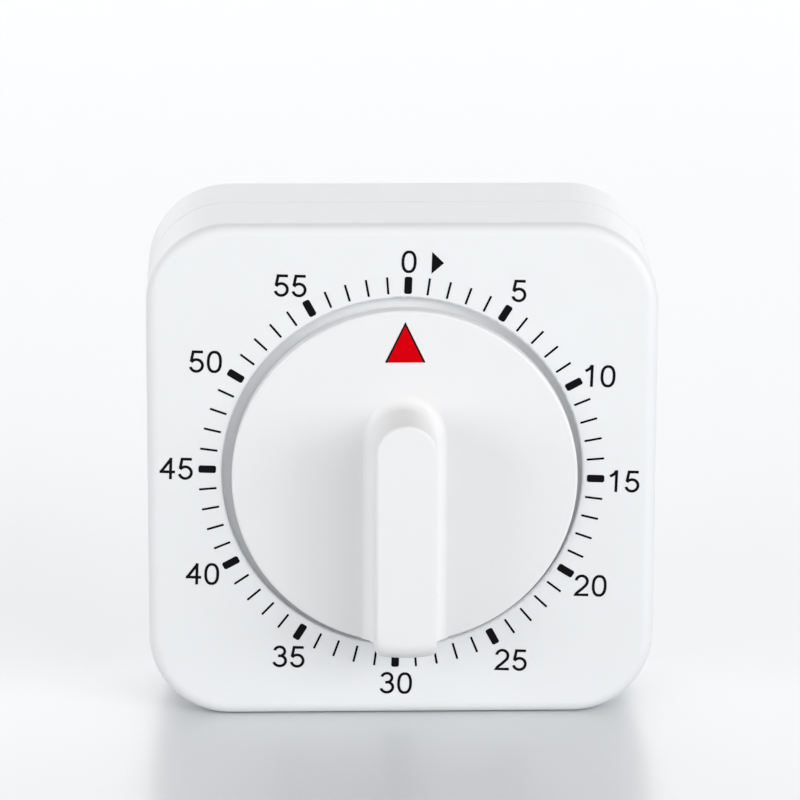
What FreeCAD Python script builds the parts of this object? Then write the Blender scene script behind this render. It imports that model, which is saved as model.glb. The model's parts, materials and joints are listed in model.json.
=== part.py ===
import FreeCAD, Part
import math
import os
import Sketcher
from FreeCAD import Placement, Rotation, Vector

# A mechanical 60 minute bell timer. Millimetres, +Z up, the dial faces -Y, the origin is the
# middle of the case's bottom face. Every sub-part is drawn as seen from the front: its own x is
# the row's X, its own y is up, and its own z, called "forward" here, points out of the dial
# (row -Y). Forward 0 is half way through the case's depth.

SIZES = {
    # case
    "case_width": 80.0,
    "case_depth": 31.0,
    "corner_radius": 13.0,
    "front_edge_radius": 2.0,
    "back_edge_radius": 2.0,
    "seam_forward": -0.6,
    "seam_gap": 0.2,
    "seam_chamfer": 0.15,
    "foot_rise": 0.3,
    "foot_setback": 4.0,
    "front_wall": 2.0,
    "cover_wall": 3.0,
    "panel_thickness": 2.2,
    "lip_height": 1.5,
    "lip_clearance": 0.15,
    "opening_radius": 28.35,
    "opening_edge_radius": 0.35,
    "opening_rise": 0.0,
    "well_depth": 1.6,
    "well_wall": 1.5,
    "well_floor": 1.3,
    "well_hole_radius": 3.2,
    "boss_reach": 30.0,
    "boss_radius": 3.3,
    "sound_slot_width": 1.4,
    "sound_slot_length": 22.0,
    "sound_slot_pitch": 3.6,
    "sound_slot_count": 7,
    # case screws
    "screw_radius": 1.2,
    "screw_clearance_radius": 1.5,
    "pilot_radius": 1.25,
    "screw_head_radius": 2.6,
    "screw_head_height": 1.7,
    "head_pocket_radius": 3.0,
    "head_pocket_depth": 2.4,
    "screw_length": 20.0,
    # dial
    "dial_shift": 0.38,
    "dial_rise": -0.5,
    "dial_radius": 27.15,
    "dial_back": 14.2,
    "dial_face": 17.0,
    "dial_skin": 1.6,
    "dial_edge_radius": 0.5,
    "grip_top": 28.2,
    "grip_base_half_width": 4.9,
    "grip_top_half_width": 4.78,
    "grip_end_rise": 6.85,
    "grip_foot_inset": 0.65,
    "grip_foot_radius": 2.0,
    "grip_nose_radius": 3.0,
    "grip_edge_radius": 0.45,
    "hub_radius": 4.2,
    "seat_depth": 5.0,
    "pointer_tip": 25.3,
    "pointer_base": 18.9,
    "pointer_half_width": 3.1,
    "pointer_thickness": 0.6,
    # movement plates and their fixings
    "plate_thickness": 1.0,
    "front_plate_back": 8.4,
    "rear_plate_front": -0.6,
    "front_plate_width": 66.0,
    "rear_plate_width": 56.0,
    "plate_height": 42.0,
    "plate_corner_radius": 6.0,
    "plate_shift": -2.0,
    "pillar_radius": 1.8,
    "pillar_stud_radius": 1.0,
    "pillar_reach": 24.5,
    "pillar_rise": 17.5,
    "nut_radius": 2.3,
    "nut_height": 1.2,
    "fixing_reach": 30.2,
    "fixing_rise": 12.0,
    "fixing_boss_radius": 2.4,
    "fixing_radius": 0.85,
    "fixing_pilot_radius": 0.9,
    "fixing_head_radius": 1.7,
    "fixing_head_height": 0.9,
    "fixing_length": 4.2,
    # main arbor and what it carries
    "arbor_radius": 2.0,
    "arbor_flat": 1.5,
    "arbor_flange_radius": 3.2,
    "rear_pivot_radius": 1.2,
    "stop_radius": 10.0,
    "stop_width": 0.6,
    "stop_gap": 0.2,
    "stop_thickness": 0.5,
    "stop_pin_radius": 0.4,
    "cam_radius": 6.0,
    "cam_notch_radius": 4.3,
    "cam_notch_half_angle": 21.0,
    "cam_back": 5.9,
    "cam_thickness": 0.5,
    "collar_back": 6.4,
    "collar_radius": 3.2,
    "clutch_back": 6.8,
    "clutch_thickness": 0.3,
    "clutch_radius": 6.4,
    # gears
    "running_clearance": 0.05,
    "end_shake": 0.1,
    "pivot_radius": 0.5,
    "staff_radius": 0.8,
    "pinion_teeth": 8,
    "main_teeth": 72,
    "main_module": 0.4,
    "main_back": 7.1,
    "main_thickness": 0.8,
    "second_teeth": 60,
    "second_module": 0.35,
    "second_back": 5.2,
    "third_teeth": 60,
    "third_module": 0.3,
    "third_back": 3.1,
    "wheel_thickness": 0.5,
    "escape_teeth": 16,
    "escape_radius": 4.5,
    "escape_back": 0.9,
    # balance
    "pallet_span": 6.8,
    "pallet_pin_radius": 0.3,
    "pallet_pin_reach": 5.6,
    "pallet_pin_angle": 42.0,
    "bob_radius": 5.6,
    "bob_width": 3.0,
    "bob_back": 4.7,
    "bob_thickness": 1.2,
    # mainspring and its barrel
    "barrel_teeth": 72,
    "barrel_module": 0.4,
    "barrel_back": 0.3,
    "barrel_plate": 0.8,
    "barrel_front": 4.7,
    "barrel_radius": 11.4,
    "barrel_wall": 0.6,
    "barrel_cover_thickness": 0.4,
    "spring_inner_radius": 2.9,
    "spring_thickness": 0.3,
    "spring_pitch": 0.85,
    "spring_turns": 8,
    # strike train
    "star_radius": 5.0,
    "star_root": 3.6,
    "star_teeth": 10,
    "star_back": 5.1,
    "star_thickness": 0.6,
    "hammer_span": 8.0,
    "verge_pin_radius": 0.4,
    "hammer_arm_back": -2.6,
    "hammer_arm_thickness": 0.6,
    "hammer_head_radius": 1.8,
    "hammer_head_length": 3.0,
    "lever_width": 2.0,
    "lever_hub_radius": 2.4,
    "lever_stud_radius": 1.0,
    "lever_gap": 0.3,
    # bell
    "bell_radius": 17.0,
    "bell_rim": -2.5,
    "bell_crown": -11.0,
    "bell_thickness": 0.8,
    "bell_edge_radius": 6.0,
    "bell_post_radius": 1.75,
    "bell_shift": 2.0,
    "bell_rise": 8.0,
}

doc = FreeCAD.newDocument("LabTimer")
sheet = doc.addObject("Spreadsheet::Sheet", "Sizes")
for row, (alias, number) in enumerate(SIZES.items(), start=1):
    sheet.set(f"A{row}", alias)
    sheet.set(f"B{row}", str(number))
    sheet.setAlias(f"B{row}", alias)
doc.recompute()


class Size:
    """A length or count from the sheet, kept both as an expression and as a number."""

    def __init__(self, text, number):
        self.text = text
        self.number = number

    def __add__(self, other):
        other = as_size(other)
        return Size(f"({self.text} + {other.text})", self.number + other.number)

    def __sub__(self, other):
        other = as_size(other)
        return Size(f"({self.text} - {other.text})", self.number - other.number)

    def __mul__(self, other):
        other = as_size(other)
        return Size(f"({self.text} * {other.text})", self.number * other.number)

    def __truediv__(self, other):
        other = as_size(other)
        return Size(f"({self.text} / {other.text})", self.number / other.number)

    def __neg__(self):
        return self * -1


def as_size(value):
    """Turns a plain number into a Size."""
    return value if isinstance(value, Size) else Size(f"({value})", value)


class Sheet:
    """Gives every cell as a Size: S.case_width."""

    def __getattr__(self, alias):
        return Size(f"Sizes.{alias}", float(sheet.get(alias)))


S = Sheet()
CASE_MIDDLE = S.case_width / 2
FRONT = S.case_depth / 2
BACK = -FRONT


# ---------------------------------------------------------------- shared building functions


def bind(thing, prop, size):
    """Ties a property or a constraint to the sheet."""
    thing.setExpression(prop, as_size(size).text)


def facing_front(x=0.0, height=0.0):
    """The placement that stands a drawing up: its z points to the row's -Y."""
    return Placement(Vector(x, 0, height), Rotation(Vector(1, 0, 0), 90))


def new_body(label, place):
    body = doc.addObject("PartDesign::Body", label)
    body.Label = label
    body.Placement = place
    return body


def new_sketch(body, forward):
    """A sketch across the body's own z axis, at a height from the sheet."""
    sketch = body.newObject("Sketcher::SketchObject", body.Name + "Sketch")
    plane = next(p for p in body.Origin.OriginFeatures if p.Role == "XY_Plane")
    sketch.AttachmentSupport = [(plane, "")]
    sketch.MapMode = "FlatFace"
    bind(sketch, "AttachmentOffset.Base.z", forward)
    return sketch


def constrain(sketch, *terms):
    """Adds one constraint whose last term is a Size, and ties it to the sheet."""
    size = as_size(terms[-1])
    index = sketch.addConstraint(Sketcher.Constraint(*terms[:-1], size.number))
    bind(sketch, f"Constraints[{index}]", size)


def draw_circle(sketch, radius, x=0, y=0):
    x = as_size(x)
    y = as_size(y)
    centre = Vector(x.number, y.number, 0)
    ring = sketch.addGeometry(Part.Circle(centre, Vector(0, 0, 1), as_size(radius).number), False)
    constrain(sketch, "Radius", ring, radius)
    constrain(sketch, "DistanceX", -1, 1, ring, 3, x)
    constrain(sketch, "DistanceY", -1, 1, ring, 3, y)


def draw_rounded_square(sketch, width, height, radius, x=0):
    """A rounded rectangle, centred on the axis or shifted along x."""
    half_w = (width / 2).number
    half_h = (height / 2).number
    r = radius.number
    shift = as_size(x).number
    corners = ((1, 1, 0), (-1, 1, 90), (-1, -1, 180), (1, -1, 270))
    arcs = []
    for sx, sy, start in corners:
        centre = Vector(shift + sx * (half_w - r), sy * (half_h - r), 0)
        circle = Part.Circle(centre, Vector(0, 0, 1), r)
        arc = Part.ArcOfCircle(circle, math.radians(start), math.radians(start + 90))
        arcs.append(sketch.addGeometry(arc, False))
    lines = []
    for n, arc in enumerate(arcs):
        following = arcs[(n + 1) % 4]
        start = sketch.getPoint(arc, 2)
        end = sketch.getPoint(following, 1)
        line = sketch.addGeometry(Part.LineSegment(start, end), False)
        sketch.addConstraint(Sketcher.Constraint("Tangent", arc, 2, line, 1))
        sketch.addConstraint(Sketcher.Constraint("Tangent", line, 2, following, 1))
        lines.append(line)
    sketch.addConstraint(Sketcher.Constraint("Horizontal", lines[0]))
    sketch.addConstraint(Sketcher.Constraint("Horizontal", lines[2]))
    sketch.addConstraint(Sketcher.Constraint("Vertical", lines[1]))
    sketch.addConstraint(Sketcher.Constraint("Vertical", lines[3]))
    for arc in arcs[1:]:
        sketch.addConstraint(Sketcher.Constraint("Equal", arcs[0], arc))
    constrain(sketch, "Radius", arcs[0], radius)
    constrain(sketch, "DistanceY", -1, 1, lines[0], 1, height / 2)
    constrain(sketch, "DistanceY", lines[2], 1, lines[0], 1, height)
    constrain(sketch, "DistanceX", -1, 1, lines[3], 1, as_size(x) + width / 2)
    constrain(sketch, "DistanceX", lines[1], 1, lines[3], 1, width)


def pad(body, sketch, length):
    """Adds the sketch's area, towards the front."""
    feature = body.newObject("PartDesign::Pad", body.Name + "Pad")
    feature.Profile = sketch
    bind(feature, "Length", length)
    doc.recompute()
    return feature


def pocket(body, sketch, depth, forward=False):
    """Cuts the sketch's area away, towards the back or towards the front."""
    before = body.Shape.Volume
    feature = body.newObject("PartDesign::Pocket", body.Name + "Pocket")
    feature.Profile = sketch
    feature.Reversed = forward
    bind(feature, "Length", depth)
    doc.recompute()
    if body.Shape.Volume > before - 1e-6:
        raise RuntimeError(f"{feature.Label} cuts nothing")
    return feature


def edges_at(shape, forward):
    """The names of the edges that lie wholly at one height."""
    level = forward.number
    names = []
    for n, edge in enumerate(shape.Edges, start=1):
        box = edge.BoundBox
        if abs(box.ZMin - level) < 1e-6 and abs(box.ZMax - level) < 1e-6:
            names.append(f"Edge{n}")
    return names


def dress(body, kind, base, names, prop, size):
    """A fillet or a chamfer on named edges of the feature before it."""
    feature = body.newObject("PartDesign::" + kind, body.Name + kind)
    feature.Base = (base, names)
    bind(feature, prop, size)
    doc.recompute()
    return feature


def cylinder(radius, back, front, x=0, y=0):
    """A round step of a turned piece, from one height to another."""
    step = doc.addObject("Part::Cylinder", "Step")
    bind(step, "Radius", radius)
    bind(step, "Height", as_size(front) - back)
    bind(step, "Placement.Base.x", x)
    bind(step, "Placement.Base.y", y)
    bind(step, "Placement.Base.z", back)
    return step


def block(width, height, back, front, x=0, y=0):
    """A box, centred on x and y, from one height to another."""
    width = as_size(width)
    height = as_size(height)
    box = doc.addObject("Part::Box", "Block")
    bind(box, "Length", width)
    bind(box, "Width", height)
    bind(box, "Height", as_size(front) - back)
    bind(box, "Placement.Base.x", as_size(x) - width / 2)
    bind(box, "Placement.Base.y", as_size(y) - height / 2)
    bind(box, "Placement.Base.z", back)
    return box


def fused(label, pieces, place):
    fuse = doc.addObject("Part::MultiFuse", label)
    fuse.Label = label
    fuse.Shapes = pieces
    fuse.Placement = place
    return fuse


def cut(label, base, tools, place):
    """Takes the tools out of the base."""
    tool = tools[0]
    if len(tools) > 1:
        tool = fused(label + "_tool", tools, Placement())
    piece = doc.addObject("Part::Cut", label)
    piece.Label = label
    piece.Base = base
    piece.Tool = tool
    piece.Placement = place
    return piece


def feature(label, shape, place):
    """A sub-part whose outline is worked out point by point."""
    piece = doc.addObject("Part::Feature", label)
    piece.Label = label
    piece.Shape = shape
    piece.Placement = place * shape.Placement
    return piece


def copies(label, shape, spots, place):
    """The same small fastener at several spots, as one node of separate solids."""
    solids = [shape.translated(Vector(x, y, 0)) for x, y in spots]
    return feature(label, Part.makeCompound(solids), place)


def disc(radius, back, thickness, x=0.0, y=0.0):
    return Part.makeCylinder(radius, thickness, Vector(x, y, back))


def polar(radius, degrees):
    angle = math.radians(degrees)
    return Vector(radius * math.cos(angle), radius * math.sin(angle), 0)


def strip(points, width, back, thickness):
    """A flat bar that follows the points, with round ends."""
    shape = None
    for start, end in zip(points, points[1:]):
        side = (end - start).cross(Vector(0, 0, 1)).normalize() * (width / 2)
        wire = Part.makePolygon([start + side, end + side, end - side, start - side, start + side])
        wire.translate(Vector(0, 0, back))
        bar = Part.Face(wire).extrude(Vector(0, 0, thickness))
        shape = bar if shape is None else shape.fuse(bar)
    for point in points:
        shape = shape.fuse(disc(width / 2, back, thickness, point.x, point.y))
    return shape.removeSplitter()


# ---------------------------------------------------------------- gears


def toothed_outline(teeth, root, pitch, tip, share, tip_share, lead):
    """The outline of a clock wheel: radial flanks, curved tips and a round root.

    share is how much of the pitch a tooth fills at the pitch circle, tip_share how much of that is
    left at the tip, and lead the direction of the middle of the first tooth, in degrees.
    """
    step = 360.0 / teeth
    half = step * share / 2
    edges = []
    for n in range(teeth):
        middle = lead + n * step
        low = polar(root, middle - half)
        rise = polar(pitch, middle - half)
        crown = polar(tip, middle - half * tip_share)
        crown_end = polar(tip, middle + half * tip_share)
        fall = polar(pitch, middle + half)
        low_end = polar(root, middle + half)
        next_low = polar(root, middle + step - half)
        bulge = 1 - 0.32 * (1 - tip_share)
        side = (pitch + tip * 1.04) / 2.02
        edges.append(Part.makeLine(low, rise))
        edges.append(Part.Arc(rise, polar(side, middle - half * bulge), crown).toShape())
        edges.append(Part.Arc(crown, polar(tip, middle), crown_end).toShape())
        edges.append(Part.Arc(crown_end, polar(side, middle + half * bulge), fall).toShape())
        edges.append(Part.makeLine(fall, low_end))
        edges.append(Part.Arc(low_end, polar(root, middle + step / 2), next_low).toShape())
    return Part.Wire(edges)


def extruded(wire, back, thickness):
    return Part.Face(wire).extrude(Vector(0, 0, thickness)).translated(Vector(0, 0, back))


def wheel(teeth, module, back, thickness, bore, lead, windows=5):
    """A thin wheel with a bore and round windows between its spokes."""
    pitch = teeth * module / 2
    wire = toothed_outline(teeth, pitch - 1.25 * module, pitch, pitch + 0.95 * module, 0.45, 0.28, lead)
    shape = extruded(wire, back, thickness)
    shape = shape.cut(disc(bore, back - 1, thickness + 2))
    middle = (pitch - 1.25 * module + bore) / 2 + 0.4
    window = (pitch - bore) * 0.27
    for n in range(windows):
        spot = polar(middle, lead + 360.0 * n / windows)
        shape = shape.cut(disc(window, back - 1, thickness + 2, spot.x, spot.y))
    return shape


def pinion(module, back, front, bore, lead):
    """A small gear with few, narrow leaves."""
    teeth = int(S.pinion_teeth.number)
    pitch = teeth * module / 2
    wire = toothed_outline(teeth, pitch - 1.3 * module, pitch, pitch + 0.6 * module, 0.36, 0.35, lead)
    shape = extruded(wire, back, front - back)
    return shape.cut(disc(bore, back - 1, front - back + 2))


# ---------------------------------------------------------------- where the arbors stand


def centre_distance(teeth, module):
    return (teeth + S.pinion_teeth.number) * module / 2


DIAL_AT = Vector(S.dial_shift.number, (CASE_MIDDLE + S.dial_rise).number, 0)
SECOND_ANGLE = 215.0
THIRD_ANGLE = 150.0
ESCAPE_ANGLE = 80.0
PALLET_ANGLE = 60.0
STRIKE_ANGLE = -35.0
HAMMER_ANGLE = -60.0
LEVER_ANGLE = 20.0
SECOND = polar(centre_distance(S.main_teeth.number, S.main_module.number), SECOND_ANGLE)
THIRD = SECOND + polar(centre_distance(S.second_teeth.number, S.second_module.number), THIRD_ANGLE)
ESCAPE = THIRD + polar(centre_distance(S.third_teeth.number, S.third_module.number), ESCAPE_ANGLE)
PALLET = ESCAPE + polar(S.pallet_span.number, PALLET_ANGLE)
STRIKE = polar(centre_distance(S.barrel_teeth.number, S.barrel_module.number), STRIKE_ANGLE)
HAMMER = STRIKE + polar(S.hammer_span.number, HAMMER_ANGLE)
NOSE = polar(S.cam_radius.number + S.lever_gap.number, LEVER_ANGLE)
LEVER = NOSE + polar(15.0, LEVER_ANGLE + 90.0)
BELL = Vector(S.bell_shift.number, S.bell_rise.number, 0)
HALF_LEAF = 180.0 / S.pinion_teeth.number

REAR_BACK = S.rear_plate_front - S.plate_thickness
FRONT_FACE = S.front_plate_back + S.plate_thickness


def at(spot):
    """The placement of a piece whose own axis stands at a spot measured from the dial's axis."""
    return facing_front(DIAL_AT.x + spot.x, DIAL_AT.y + spot.y)


ON_DIAL = at(Vector(0, 0, 0))


# ---------------------------------------------------------------- case


def four(reach, rise):
    """The four corners of a rectangle about the axis, as Sizes."""
    return [(reach, rise), (-reach, rise), (-reach, -rise), (reach, -rise)]


def fixing_spots():
    """Where the movement is screwed to the front shell, from the case's own middle."""
    spots = four(S.fixing_reach, S.fixing_rise)
    return [(x + S.plate_shift + S.dial_shift, y + S.dial_rise) for x, y in spots]


def make_front_shell():
    body = new_body("front_shell", facing_front(0, CASE_MIDDLE.number))
    inner = S.case_width - S.front_wall * 2
    panel_back = FRONT - S.panel_thickness
    floor_back = FRONT - S.well_depth - S.well_floor
    rim_back = S.seam_forward + S.seam_gap

    outline = new_sketch(body, rim_back)
    draw_rounded_square(outline, S.case_width, S.case_width, S.corner_radius)
    solid = pad(body, outline, FRONT - rim_back)
    front_edges = edges_at(solid.Shape, FRONT)
    rounded = dress(body, "Fillet", solid, front_edges, "Radius", S.front_edge_radius)
    seam_edges = edges_at(rounded.Shape, rim_back)
    dress(body, "Chamfer", rounded, seam_edges, "Size", S.seam_chamfer)

    # the front edge stands clear of the bench
    relief = new_sketch(body, FRONT - S.foot_setback)
    draw_slot(relief, S.case_width, S.foot_rise * 2, -S.case_width / 2)
    pocket(body, relief, S.foot_setback, forward=True)

    hollow = new_sketch(body, rim_back)
    draw_rounded_square(hollow, inner, inner, S.corner_radius - S.front_wall)
    pocket(body, hollow, panel_back - rim_back, forward=True)

    well = new_sketch(body, floor_back)
    draw_circle(well, S.opening_radius + S.well_wall, 0, S.opening_rise)
    pad(body, well, panel_back - floor_back)
    bosses = new_sketch(body, S.seam_forward)
    for x, y in four(S.boss_reach, S.boss_reach):
        draw_circle(bosses, S.boss_radius, x, y)
    pad(body, bosses, panel_back - S.seam_forward)
    fixings = new_sketch(body, FRONT_FACE)
    for x, y in fixing_spots():
        draw_circle(fixings, S.fixing_boss_radius, x, y)
    pad(body, fixings, panel_back - FRONT_FACE)

    opening = new_sketch(body, FRONT)
    draw_circle(opening, S.opening_radius, 0, S.opening_rise)
    well_cut = pocket(body, opening, S.well_depth)
    rims = [
        name
        for name in edges_at(well_cut.Shape, FRONT)
        if abs(well_cut.Shape.getElement(name).BoundBox.XMax - S.opening_radius.number) < 0.01
    ]
    dress(body, "Fillet", well_cut, rims, "Radius", S.opening_edge_radius)
    hole = new_sketch(body, FRONT - S.well_depth)
    draw_circle(hole, S.well_hole_radius, S.dial_shift, S.dial_rise)
    pocket(body, hole, S.well_floor)
    pilots = new_sketch(body, S.seam_forward)
    for x, y in four(S.boss_reach, S.boss_reach):
        draw_circle(pilots, S.pilot_radius, x, y)
    pocket(body, pilots, S.screw_length / 2, forward=True)
    small_pilots = new_sketch(body, FRONT_FACE)
    for x, y in fixing_spots():
        draw_circle(small_pilots, S.fixing_pilot_radius, x, y)
    pocket(body, small_pilots, S.fixing_length - S.plate_thickness + 0.2, forward=True)
    return body


def make_back_cover():
    body = new_body("back_cover", facing_front(0, CASE_MIDDLE.number))
    inner = S.case_width - S.cover_wall * 2
    inner_radius = S.corner_radius - S.cover_wall
    panel_front = BACK + S.panel_thickness

    outline = new_sketch(body, BACK)
    draw_rounded_square(outline, S.case_width, S.case_width, S.corner_radius)
    solid = pad(body, outline, S.seam_forward - BACK)
    back_edges = edges_at(solid.Shape, BACK)
    rounded = dress(body, "Fillet", solid, back_edges, "Radius", S.back_edge_radius)
    seam_edges = edges_at(rounded.Shape, S.seam_forward)
    dress(body, "Chamfer", rounded, seam_edges, "Size", S.seam_chamfer)

    hollow = new_sketch(body, S.seam_forward)
    draw_rounded_square(hollow, inner, inner, inner_radius)
    pocket(body, hollow, S.seam_forward - panel_front)
    lip_width = S.case_width - S.front_wall * 2 - S.lip_clearance * 2
    lip = new_sketch(body, S.seam_forward)
    draw_rounded_square(lip, lip_width, lip_width, S.corner_radius - S.front_wall - S.lip_clearance)
    draw_rounded_square(lip, inner, inner, inner_radius)
    pad(body, lip, S.lip_height)
    bosses = new_sketch(body, panel_front)
    for x, y in four(S.boss_reach, S.boss_reach):
        draw_circle(bosses, S.boss_radius, x, y)
    pad(body, bosses, S.seam_forward - panel_front)

    heads = new_sketch(body, BACK)
    for x, y in four(S.boss_reach, S.boss_reach):
        draw_circle(heads, S.head_pocket_radius, x, y)
    pocket(body, heads, S.head_pocket_depth, forward=True)
    shanks = new_sketch(body, S.seam_forward)
    for x, y in four(S.boss_reach, S.boss_reach):
        draw_circle(shanks, S.screw_clearance_radius, x, y)
    pocket(body, shanks, S.seam_forward - BACK)

    slot = new_sketch(body, panel_front)
    spread = S.sound_slot_pitch * (S.sound_slot_count - 1)
    draw_slot(slot, S.sound_slot_length, S.sound_slot_width, -spread / 2)
    first = pocket(body, slot, S.panel_thickness)
    row_of_slots = body.newObject("PartDesign::LinearPattern", "SoundSlots")
    row_of_slots.Originals = [first]
    row_of_slots.Direction = (slot, ["V_Axis"])
    bind(row_of_slots, "Length", spread)
    row_of_slots.Occurrences = int(S.sound_slot_count.number)
    body.Tip = row_of_slots
    doc.recompute()
    return body


def draw_slot(sketch, length, width, y):
    """A long hole across the body, with round ends."""
    reach = (length / 2 - width / 2).number
    radius = (width / 2).number
    ends = []
    for side, start in ((1, -90), (-1, 90)):
        circle = Part.Circle(Vector(side * reach, y.number, 0), Vector(0, 0, 1), radius)
        arc = Part.ArcOfCircle(circle, math.radians(start), math.radians(start + 180))
        ends.append(sketch.addGeometry(arc, False))
    right, left = ends
    for first, second in ((right, left), (left, right)):
        start = sketch.getPoint(first, 2)
        end = sketch.getPoint(second, 1)
        line = sketch.addGeometry(Part.LineSegment(start, end), False)
        sketch.addConstraint(Sketcher.Constraint("Tangent", first, 2, line, 1))
        sketch.addConstraint(Sketcher.Constraint("Tangent", line, 2, second, 1))
        if first == right:
            sketch.addConstraint(Sketcher.Constraint("Horizontal", line))
    constrain(sketch, "Radius", right, width / 2)
    constrain(sketch, "DistanceX", -1, 1, right, 3, length / 2 - width / 2)
    constrain(sketch, "DistanceX", left, 3, -1, 1, length / 2 - width / 2)
    constrain(sketch, "DistanceY", -1, 1, right, 3, y)


def screw_shape(radius, head_radius, head_height, length, slots):
    """A pan head screw that points forward, its head's underside at height 0."""
    shape = disc(head_radius, -head_height, head_height)
    shape = shape.makeFillet(head_height * 0.45, [shape.Edges[2]])
    shape = shape.fuse(disc(radius, 0, length - radius))
    tip = Part.makeCone(radius, radius * 0.3, radius, Vector(0, 0, length - radius))
    shape = shape.fuse(tip)
    for n in range(slots):
        slot = Part.makeBox(head_radius * 1.3, head_radius * 0.22, head_height * 0.6)
        slot.translate(Vector(-head_radius * 0.65, -head_radius * 0.11, -head_height))
        slot.rotate(Vector(), Vector(0, 0, 1), 180.0 * n / slots)
        shape = shape.cut(slot)
    return shape


def make_case_screws():
    shape = screw_shape(
        S.screw_radius.number,
        S.screw_head_radius.number,
        S.screw_head_height.number,
        S.screw_length.number,
        2,
    )
    shape.translate(Vector(0, 0, (BACK + S.head_pocket_depth).number))
    reach = S.boss_reach.number
    spots = [(x, y) for x in (-reach, reach) for y in (-reach, reach)]
    return copies("case_screws", shape, spots, facing_front(0, CASE_MIDDLE.number))


# ---------------------------------------------------------------- dial


def draw_grip(sketch, half_width, foot_radius):
    """A bar with a round upper end, whose lower end follows the dial's rim."""
    w = half_width.number
    rise = S.grip_end_rise.number
    foot = foot_radius.number
    spread = math.asin(w / foot)
    end_circle = Part.Circle(Vector(0, rise, 0), Vector(0, 0, 1), w)
    foot_circle = Part.Circle(Vector(0, 0, 0), Vector(0, 0, 1), foot)
    foot_start = -math.pi / 2 - spread
    foot_end = -math.pi / 2 + spread
    end = sketch.addGeometry(Part.ArcOfCircle(end_circle, 0, math.pi), False)
    foot_arc = sketch.addGeometry(Part.ArcOfCircle(foot_circle, foot_start, foot_end), False)
    left_line = Part.LineSegment(sketch.getPoint(end, 2), sketch.getPoint(foot_arc, 1))
    right_line = Part.LineSegment(sketch.getPoint(foot_arc, 2), sketch.getPoint(end, 1))
    left = sketch.addGeometry(left_line, False)
    right = sketch.addGeometry(right_line, False)
    sketch.addConstraint(Sketcher.Constraint("Tangent", end, 2, left, 1))
    sketch.addConstraint(Sketcher.Constraint("Tangent", right, 2, end, 1))
    sketch.addConstraint(Sketcher.Constraint("Coincident", left, 2, foot_arc, 1))
    sketch.addConstraint(Sketcher.Constraint("Coincident", foot_arc, 2, right, 1))
    sketch.addConstraint(Sketcher.Constraint("Coincident", foot_arc, 3, -1, 1))
    sketch.addConstraint(Sketcher.Constraint("PointOnObject", end, 3, -2))
    sketch.addConstraint(Sketcher.Constraint("Vertical", left))
    constrain(sketch, "Radius", end, half_width)
    constrain(sketch, "DistanceY", -1, 1, end, 3, S.grip_end_rise)
    constrain(sketch, "Radius", foot_arc, foot_radius)


def new_profile(body, rise):
    """A sketch across the body's own y axis, at a rise from the sheet."""
    sketch = body.newObject("Sketcher::SketchObject", body.Name + "Profile")
    plane = next(p for p in body.Origin.OriginFeatures if p.Role == "XZ_Plane")
    sketch.AttachmentSupport = [(plane, "")]
    sketch.MapMode = "FlatFace"
    bind(sketch, "AttachmentOffset.Base.z", -rise)
    return sketch


def draw_flare(sketch, whole):
    """The grip's foot, whose sides curve outwards into the dial's face: all of it or its right half."""
    low = S.dial_face - S.dial_edge_radius
    waist = S.dial_face + S.grip_foot_radius
    reach = S.grip_base_half_width + S.grip_foot_radius
    r = S.grip_foot_radius.number
    x, y = reach.number, waist.number
    far = -x if whole else 0
    near = r - x if whole else 0

    def line(start, end):
        return sketch.addGeometry(Part.LineSegment(Vector(*start, 0), Vector(*end, 0)), False)

    def quarter(centre_x, start):
        circle = Part.Circle(Vector(centre_x, y, 0), Vector(0, 0, 1), r)
        angle = math.radians(start)
        return sketch.addGeometry(Part.ArcOfCircle(circle, angle, angle + math.pi / 2), False)

    bottom = line((far, low.number), (x, low.number))
    right = line((x, low.number), (x, y - r))
    curve = quarter(x, 180)
    top = line((x - r, y), (near, y))
    sketch.addConstraint(Sketcher.Constraint("Coincident", bottom, 2, right, 1))
    sketch.addConstraint(Sketcher.Constraint("Coincident", right, 2, curve, 2))
    sketch.addConstraint(Sketcher.Constraint("Coincident", curve, 1, top, 1))
    sketch.addConstraint(Sketcher.Constraint("Horizontal", bottom))
    sketch.addConstraint(Sketcher.Constraint("Vertical", right))
    sketch.addConstraint(Sketcher.Constraint("Horizontal", top))
    constrain(sketch, "Radius", curve, S.grip_foot_radius)
    constrain(sketch, "DistanceX", -1, 1, curve, 3, reach)
    constrain(sketch, "DistanceY", -1, 1, curve, 3, waist)
    constrain(sketch, "DistanceX", -1, 1, right, 1, reach)
    constrain(sketch, "DistanceY", -1, 1, bottom, 2, low)
    constrain(sketch, "DistanceY", -1, 1, top, 1, waist)
    if whole:
        mirrored = quarter(-x, 270)
        left = line((-x, y - r), (-x, low.number))
        sketch.addConstraint(Sketcher.Constraint("Coincident", top, 2, mirrored, 2))
        sketch.addConstraint(Sketcher.Constraint("Coincident", mirrored, 1, left, 1))
        sketch.addConstraint(Sketcher.Constraint("Coincident", left, 2, bottom, 1))
        sketch.addConstraint(Sketcher.Constraint("Vertical", left))
        constrain(sketch, "Radius", mirrored, S.grip_foot_radius)
        constrain(sketch, "DistanceX", -1, 1, mirrored, 3, -reach)
        constrain(sketch, "DistanceY", -1, 1, mirrored, 3, waist)
        constrain(sketch, "DistanceX", -1, 1, left, 1, -reach)
    else:
        axis = line((0, y), (0, low.number))
        sketch.addConstraint(Sketcher.Constraint("Coincident", top, 2, axis, 1))
        sketch.addConstraint(Sketcher.Constraint("Coincident", axis, 2, bottom, 1))
        sketch.addConstraint(Sketcher.Constraint("PointOnObject", top, 2, -2))
        sketch.addConstraint(Sketcher.Constraint("PointOnObject", bottom, 1, -2))


def is_low(shape, name):
    """True for an edge of the dial that lies wholly near the foot of the grip."""
    return shape.getElement(name).BoundBox.YMax < -S.dial_radius.number / 2


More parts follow.
